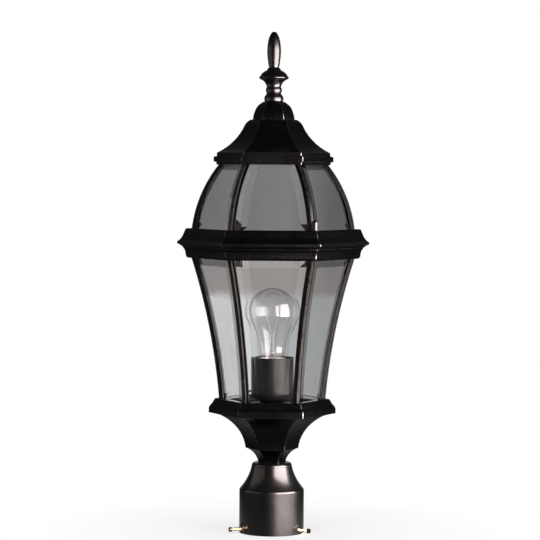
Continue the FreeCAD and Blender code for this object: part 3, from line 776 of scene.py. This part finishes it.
class LANTERN_OT_finishes(PieceOperator, bpy.types.Operator):
    """Makes the shared effects and the finishes"""
    bl_idname = "lantern.finishes"
    bl_label = "Finishes"

    def execute(self, context):
        make_grain_group()
        make_edge_group()
        make_cloud_group()
        look = context.scene.lantern_finish
        cast, enamel, rib, mark_colour = look.cast_colour, look.enamel_colour, look.rib_colour, look.rubbed_colour
        coarse, smooth, fine = (0.0013, 0.00012, 2.8), (0.0006, 0.000006, 1.3), (0.0006, 0.00001, 1.3)
        black_coat("cast_black", cast, mark_colour, coarse, (0.2, 0.27, 0.2), (0.5, 4.0), 0.08)
        black_coat("gloss_black", enamel, mark_colour, smooth, (0.22, 0.28, 0.2), (0.15, 4.0), 0.3)
        black_coat("holder_black", enamel, mark_colour, smooth, (0.27, 0.33, 0.28), (0.1, 4.0), 0.12)
        black_coat("plate_black", enamel, mark_colour, fine, (0.08, 0.14, 0.2), (0.1, 4.0), 0.4)
        # The ribs' bars take their lighter colour down the crown: painted sheen.
        black_coat("black_rib", rib, look.bar_painted_sheen, smooth, (0.2, 0.26, 0.24), (1.6, 0.0), 0.07)
        black_coat("tin_clip", rib, mark_colour, fine, (0.26, 0.34, 0.25), (0.5, 4.0), 0.1)
        bare_metal("brass_screw", look.brass_colour, (0.2, 0.34), 0.00002, look.head_colour)
        bare_metal("nickel_cap", (0.75, 0.75, 0.74), (0.16, 0.3), 0.00001)
        bare_metal("zinc_steel", (0.6, 0.6, 0.58), (0.26, 0.42), 0.00002)
        bare_metal("tungsten", (0.35, 0.34, 0.33), (0.3, 0.4), 0.00001)
        # The multiples paint the panes lighter or darker towards the lantern's left and right: painted light
        # and shade.
        dome = look.dome_tint, 0.91, 0.77
        foot, top = (look.cage_foot_painted_light_tint, 1.28, 0.93), (look.cage_tint, 0.98, 0.83)
        pane_glass("dome_glass", dome, dome, (0.36, 0.46))
        pane_glass("clear_glass", foot, top, (0.292, 0.301))
        bulb_glass("bulb_glass", look.bulb_tint)
        porcelain("porcelain", look.porcelain_colour)
        return {"FINISHED"}


class LANTERN_OT_roof(PieceOperator, bpy.types.Operator):
    """Makes the roof and the small cap on it"""
    bl_idname = "lantern.roof"
    bl_label = "Roof and Cap"

    def execute(self, context):
        put_casting("roof_casting", [
            (4, 513.8), (29.1, 513.8), (33.4, 510.7, 36.1, 507.2), (48.7, 488.4, 70.6, 472.7), (70.6, 468.7),
            (73.8, 468.1), (74.6, 467.3), (74.6, 462.3), (73.8, 461.4), (71.1, 461.1), (71.1, 457.8),
            (69.0, 457.8), (69.0, 466), (66.0, 466), (66.0, 471.4), (46.0, 485.6, 33.2, 505.0),
            (29.0, 510.8), (4, 510.8),
        ], "dome", "roof")
        put_casting("crown_casting", [
            (4, 536.3), (12.6, 536.3), (18.2, 532.7, 21.9, 528.5), (24.8, 521.2, 26.3, 513.8), (23.2, 513.8),
            (21.8, 521.0, 18.8, 527.4), (13.0, 532.8), (4, 532.8),
        ], "dome", "crown_cap")
        return {"FINISHED"}


class LANTERN_OT_band(PieceOperator, bpy.types.Operator):
    """Makes the two rings of the band"""
    bl_idname = "lantern.band"
    bl_label = "Band"

    def execute(self, context):
        put_casting("band_upper_casting", [
            (108.5, 378.7), (109.9, 376.8), (112.0, 371.6), (114.6, 366.9, 118.8, 362.9), (119.7, 362.5),
            (119.7, 359.5), (117.8, 359.2), (114.1, 356.7), (113.0, 356), (97.2, 356), (97.2, 361.6),
            (94, 361.6), (94, 368), (103.2, 368), (103.2, 378.7),
        ], "dome", "band_upper_ring")
        put_casting("band_lower_casting", [
            (113.0, 356), (112.0, 354.3), (110.1, 351.9), (109.2, 348.6), (108.8, 344.6), (106.6, 342),
            (104.9, 342), (104.9, 350), (94, 350), (94, 361), (96.6, 361), (96.6, 356),
        ], "cage", "band_lower_ring")
        return {"FINISHED"}


class LANTERN_OT_base(PieceOperator, bpy.types.Operator):
    """Makes the base ring and the flared cup"""
    bl_idname = "lantern.base"
    bl_label = "Base Ring and Cup"

    def execute(self, context):
        put_casting("base_ring_casting", [
            (71.2, 166.9), (72.4, 165.4), (75.0, 160.9), (77.6, 158.3, 79.3, 155.0), (79.3, 149),
            (56, 149), (56, 163.5), (67.6, 163.5), (67.6, 166.9),
        ], "cage", "base_ring")
        put_casting("base_cup_casting", [
            (76.2, 149), (70.5, 147.3), (65.0, 146.0), (47.2, 133.9, 33.1, 105.2), (30.3, 104.4),
            (20.6, 96.2, 17.1, 87.4), (6.2, 87.4), (6.2, 90.4), (13.0, 90.4), (15.0, 98.0, 25.5, 104.5),
            (41.5, 132.0, 56.0, 144.5), (56.0, 146.5), (60.5, 146.5), (60.5, 149),
        ], "cage", "base_cup")
        return {"FINISHED"}


class LANTERN_OT_fitter(PieceOperator, bpy.types.Operator):
    """Makes the post fitter with its screw pads"""
    bl_idname = "lantern.fitter"
    bl_label = "Post Fitter"

    def execute(self, context):
        put_surface("fitter_sleeve", fitter_body(shape("turned_round")), "gloss_black", "cage", "post_fitter")
        return {"FINISHED"}


class LANTERN_OT_finial(PieceOperator, bpy.types.Operator):
    """Makes the turned finial"""
    bl_idname = "lantern.finial"
    bl_label = "Finial"

    def execute(self, context):
        put_turning("finial_turning", [
            (3.05, 557), (3.05, 536.3), (11.1, 536.3), (11.9, 540.9, 9.5, 545.1), (8.8, 546.8),
            (10.1, 550.5, 8.8, 554.2), (10.8, 559.2, 16.6, 563.6), (17.9, 564.7), (18.4, 565.9, 17.6, 567.2),
            (15.9, 569.8), (13.6, 572.3, 9.3, 574.8), (8.3, 576.2), (7.4, 577.6), (6.0, 578.6),
            (7.0, 582.0, 7.5, 586.0), (8.6, 598.6, 7.4, 611.2), (5.5, 617.4, 2.8, 621.9),
            capped(2.8, 621.9, 622.7), (0, 557),
        ], "gloss_black", "finial", "finial")
        return {"FINISHED"}


class LANTERN_OT_ribs(PieceOperator, bpy.types.Operator):
    """Makes the twelve ribs"""
    bl_idname = "lantern.ribs"
    bl_label = "Ribs"

    def execute(self, context):
        for level, body, curve in (("lower", "cage", FLARE_CURVE), ("upper", "dome", DOME_CURVE)):
            bar = rib(curve, *span(f"{level}_rib_1"), shape("rib_round"))
            for i in range(SIDES):
                put_surface(f"{level}_rib_bar_{i + 1}", bar, "black_rib", body, f"{level}_rib_{i + 1}",
                            FRONT_CORNER + STEP * i)
        return {"FINISHED"}


class LANTERN_OT_panes(PieceOperator, bpy.types.Operator):
    """Makes the twelve bent bevelled panes"""
    bl_idname = "lantern.panes"
    bl_label = "Panes"

    def execute(self, context):
        kinds = (
            ("lower", "cage", FLARE_CURVE, "clear_glass", 3.5, 17.5),
            ("upper", "dome", DOME_CURVE, "dome_glass", 22.0, BEVEL[0]),
        )
        for level, body, curve, finish, foot, top in kinds:
            sheet = pane(curve, *span(f"{level}_glass_1"), foot, top)
            for i in range(SIDES):
                put_mesh(f"{level}_pane_{i + 1}", [sheet], "clear_glass", body, f"{level}_glass_{i + 1}",
                         FRONT_FACE + STEP * i, finish=finish, sharp=BEVEL_CREASE)
        return {"FINISHED"}


class LANTERN_OT_bulb(PieceOperator, bpy.types.Operator):
    """Makes the bulb: envelope, cap, stem and filament"""
    bl_idname = "lantern.bulb"
    bl_label = "Bulb"

    def execute(self, context):
        radius, centre, wall, neck = 30.0, 275.6, 0.8, 214.0
        drop = math.radians(15)
        ball_r, ball_z = radius * math.cos(drop), centre - radius * math.sin(drop)
        inner_top = centre + radius - wall
        inner = capped(ball_r - wall, ball_z, inner_top)
        envelope = lathe([
            (0, inner_top), (*inner[:2], ball_r - wall, ball_z), (19.9, 250.5, 15.3, 231.6), (14.8, 225.2),
            (13.4, 218.8, 11.8, neck), (12.6, neck), (14.2, 218.6, 15.6, 225.0), (16.1, 231.5),
            (20.7, 250.2, ball_r, ball_z), capped(ball_r, ball_z, centre + radius),
        ], 0.2)
        put_surface("bulb_envelope", envelope, "bulb_glass", "bulb", "bulb_glass")
        put_surface("bulb_cap", threaded_cap(shape("cap_pitch")), "nickel_cap", "bulb", "bulb_base")
        stem = lathe([
            (0, neck), (8.5, neck), (3.4, 222.0, 2.6, 236.0), (2.2, 250.0), capped(2.2, 250.0, 250.6),
        ], 0.2, 48)
        put_surface("bulb_stem_flare", stem, "bulb_glass", "bulb", "bulb_stem")
        put_mesh("bulb_wires", [plain_part(wire) for wire in filament()], "tungsten", "bulb", "bulb_filament")
        return {"FINISHED"}


class LANTERN_OT_holder(PieceOperator, bpy.types.Operator):
    """Makes the lamp holder: black cup, disc under it and porcelain body"""
    bl_idname = "lantern.holder"
    bl_label = "Lamp Holder"

    def execute(self, context):
        put_turning("holder_cup", [
            (5, 162), (13.5, 162), (20.3, 167.6, 22.8, 176.0), (22.8, 219.0), (21.6, 219.0),
            (21.6, 176.0), (19.3, 168.3, 13.2, 163.2), (5, 163.2),
        ], "gloss_black", "cage", "socket_cup", finish="holder_black")
        put_turning("holder_tray", [
            (5, 158.5), (21.0, 158.5), (26.0, 160.6), (25.6, 161.4), (20.0, 162), (5, 162),
        ], "gloss_black", "cage", "socket_tray", finish="holder_black")
        put_turning("holder_porcelain", [
            (5, 168.2), (16.5, 168.2), (20.6, 177.0), (21.3, 180.0), (21.3, 215.4), (20.2, 216.8),
            (16.4, 216.8), (14.2, 212.0), (14.2, 188), (0, 188), (0, 174.0), (5, 174.0),
        ], "porcelain", "cage", "socket_body")
        return {"FINISHED"}


class LANTERN_OT_screws(PieceOperator, bpy.types.Operator):
    """Makes the set screws and the dome screws"""
    bl_idname = "lantern.screws"
    bl_label = "Screws"

    def execute(self, context):
        bore_r, end, head_r, head_t, height = 38.5, 57.5, 3.0, 2.6, 6.0
        lift = np.array([0, 0, height])
        shank = threaded(bore_r, end - head_t + 0.1, 2.1, 0.35, shape("thread_pitch")) + lift
        head = slotted_head(end - head_t, end, head_r, (0.9, 1.2)) + lift
        for i, angle in enumerate(SCREW_ANGLES):
            put_mesh(f"post_screw_{i + 1}", [plain_part(shank), plain_part(head, 1.0)], "brass_screw",
                     f"set_screw_{i + 1}", f"set_screw_{i + 1}", angle)
        head_r, low, seat, shoulder, crown = 3.7, 351.0, 378.7, 388.2, 391.3
        grid, out, mark, closed = lathe([
            (0, low), (2, low), (2, seat), (head_r, seat), (head_r, shoulder),
            capped(head_r, shoulder, crown),
        ], shape("turned_round"), 48)
        barrel = grid + np.array([DOME_SCREW_AT, 0, 0]), out, mark, closed
        for i, angle in enumerate(DOME_SCREW_ANGLES):
            put_surface(f"cap_screw_{i + 1}", barrel, "gloss_black", f"dome_screw_{i + 1}",
                        f"dome_screw_{i + 1}", angle)
        return {"FINISHED"}


class LANTERN_OT_inside(PieceOperator, bpy.types.Operator):
    """Gives the pieces that keep their packed form their finishes"""
    bl_idname = "lantern.inside"
    bl_label = "Inner Pieces"

    def execute(self, context):
        special = {"floor_plate": "plate_black"}
        for row in frame["record"]["subparts"]:
            node = frame["nodes"][row["node"]]
            for place in node.material_slots:
                place.material = bpy.data.materials[special.get(row["node"], row["material_slot"])]
        return {"FINISHED"}


# ---- the stage ----

class LANTERN_OT_stage(PieceOperator, bpy.types.Operator):
    """Sets up the camera, the floor, the lamps and the white surroundings"""
    bl_idname = "lantern.stage"
    bl_label = "Stage"

    def execute(self, context):
        stage = context.scene.lantern_stage
        rig = put_rig(put_camera(stage))
        put_floor(radius=1.6, rings=12, around=64)
        middle, soft, right, left = (0, 0, 0.3), (1.2, 1.2), 51.5, -75.5
        put_lamp(rig, "soft lamp left", (-1.3, -1.7, 1.9), middle, soft, stage.lamp_power, (1.0, 0.99, 0.97))
        put_lamp(rig, "soft lamp right", (1.6, -1.3, 1.6), middle, soft, stage.lamp_power, (1.0, 0.99, 0.98))
        put_card(rig, "card low right", right, 0.05, (1.12, 0.3), stage.bright_card, (1.0, 0.86, 0.84))
        put_card(rig, "card right", right, 0.485, (1.12, 0.57), 0.85 * stage.bright_card, (1.0, 0.88, 0.86))
        put_card(rig, "card left", left, 0.32, (1.05, 0.9), stage.dim_card, (1.0, 0.9, 0.84))
        light_world()
        context.scene.view_settings.view_transform = "Standard"
        return {"FINISHED"}


def put_camera(stage):
    camera = bpy.data.cameras.new("camera")
    camera.lens = stage.camera_lens
    camera.sensor_width = 36
    camera.clip_end = 50
    standing = put_object("camera", camera)
    standing.location = stage.camera_at
    standing.rotation_euler = stage.camera_turn
    bpy.context.scene.camera = standing
    return standing


def put_rig(camera):
    """An empty on the axis whose front keeps facing the camera.

    The lamps ride on it, as when an object turns in a studio that stands still.
    """
    rig = put_object("lamp rig", None)
    turn = rig.constraints.new("LOCKED_TRACK")
    turn.target = camera
    turn.track_axis = "TRACK_NEGATIVE_Y"
    turn.lock_axis = "LOCK_Z"
    return rig


def put_lamp(rig, name, place, target, size, power, colour):
    lamp = bpy.data.lights.new(name, "AREA")
    lamp.shape = "RECTANGLE"
    lamp.size, lamp.size_y = size
    lamp.energy = power
    lamp.color = colour
    hung = put_object(name, lamp)
    hung.parent = rig
    hung.location = place
    look = mathutils.Vector(target) - mathutils.Vector(place)
    hung.rotation_euler = look.to_track_quat("-Z", "Y").to_euler()
    hung.visible_camera = hung.visible_glossy = hung.visible_transmission = False
    return hung


def put_card(rig, name, bearing, height, size, power, colour, distance=0.75):
    """A lit card that only shows in gloss, at a bearing in degrees to the right of the rig's front."""
    angle = FRONT_FACE + math.radians(bearing)
    place = (distance * math.cos(angle), distance * math.sin(angle), height)
    card = put_lamp(rig, name, place, (0, 0, height), size, power, colour)
    card.visible_glossy = card.visible_transmission = True
    card.visible_diffuse = card.data.use_shadow = False


def put_floor(radius, rings, around):
    """A disc at P(s, t) = s R (cos t, sin t, 0), which fades to pure white towards its rim."""
    s = np.linspace(0, 1, rings)[:, None] * radius
    t = np.linspace(0, math.tau, around, endpoint=False)
    grid = turned(s, 0 * s, t).reshape(-1, 3)
    mesh = bpy.data.meshes.new("floor")
    mesh.from_pydata(grid, [], grid_faces((rings, around), (False, True))[:, ::-1])
    tree, shader = new_finish("floor white")
    feed(tree, shader, {"Base Color": (0.9, 0.9, 0.9, 1), "Roughness": 0.8, "Specular IOR Level": 0.1})
    where = add_node(tree, "TexCoord").outputs["Object"]
    away = add_node(tree, "VectorMath", {0: where}, operation="LENGTH").outputs["Value"]
    path = add_node(tree, "LightPath").outputs
    fade = ramp(tree, away, 0.04, 0.3, 0.7, 1.0)
    near = ramp(tree, away, 0.08, 0.35, 0.4, 0.05)
    seen = calculate(tree, "MAXIMUM", path["Is Camera Ray"], path["Is Transmission Ray"])
    level = calculate(tree, "MAXIMUM", seen, calculate(tree, "MULTIPLY", path["Is Glossy Ray"], near))
    white = add_node(tree, "Emission", {"Color": (1, 1, 1, 1), "Strength": level}).outputs[0]
    share = calculate(tree, "MAXIMUM", fade, path["Is Glossy Ray"])
    mix = add_node(tree, "MixShader", {0: share, 1: shader.outputs[0], 2: white}).outputs[0]
    feed(tree, tree.nodes["Material Output"], {"Surface": mix})
    mesh.materials.append(bpy.data.materials["floor white"])
    floor = put_object("floor", mesh)


def light_world():
    """White for the camera and through glass, white behind the object in gloss, and a soft grey elsewhere."""
    world = bpy.data.worlds.new("white surroundings")
    bpy.context.scene.world = world
    world.use_nodes = True
    tree = world.node_tree
    path = add_node(tree, "LightPath").outputs
    direction = add_node(tree, "TexCoord").outputs["Generated"]
    back = add_node(tree, "SeparateXYZ", {0: direction}).outputs["Y"]
    behind = calculate(tree, "MULTIPLY", path["Is Glossy Ray"], ramp(tree, back, 0.9, 0.99, 0.0, 0.5))
    seen = calculate(tree, "MAXIMUM", path["Is Camera Ray"], path["Is Transmission Ray"])
    white = calculate(tree, "MAXIMUM", seen, behind)
    dim = calculate(tree, "MULTIPLY", path["Is Glossy Ray"], 0.85)
    studio = blend_colours(tree, dim, (0.42, 0.42, 0.42, 1), (0.0, 0.0, 0.0, 1))
    feed(tree, tree.nodes["Background"], {"Color": blend_colours(tree, white, studio, (1, 1, 1, 1))})


# ---- panel ----

PIECES = (
    LANTERN_OT_finishes, LANTERN_OT_roof, LANTERN_OT_band, LANTERN_OT_base, LANTERN_OT_fitter,
    LANTERN_OT_finial, LANTERN_OT_ribs, LANTERN_OT_panes, LANTERN_OT_bulb, LANTERN_OT_holder,
    LANTERN_OT_screws, LANTERN_OT_inside, LANTERN_OT_stage,
)
SETTINGS = {"lantern_shape": LanternShape, "lantern_finish": LanternFinish, "lantern_stage": LanternStage}


class LANTERN_PT_panel(bpy.types.Panel):
    """Lists the pieces and the settings"""
    bl_label = "Post Top Lantern"
    bl_space_type = "VIEW_3D"
    bl_region_type = "UI"
    bl_category = "Lantern"

    def draw(self, context):
        for piece in PIECES:
            self.layout.operator(piece.bl_idname)
        for name, group in SETTINGS.items():
            box = self.layout.box()
            for key in group.__annotations__:
                box.prop(getattr(context.scene, name), key)


CLASSES = (*SETTINGS.values(), *PIECES, LANTERN_PT_panel)


def register():
    for cls in CLASSES:
        bpy.utils.register_class(cls)
    for name, group in SETTINGS.items():
        setattr(bpy.types.Scene, name, PointerProperty(type=group))


def unregister():
    for name in SETTINGS:
        delattr(bpy.types.Scene, name)
    for cls in reversed(CLASSES):
        bpy.utils.unregister_class(cls)


def main():
    register()
    for piece in PIECES:
        group, name = piece.bl_idname.split(".")
        getattr(getattr(bpy.ops, group), name)()


if __name__ == "__main__":
    main()
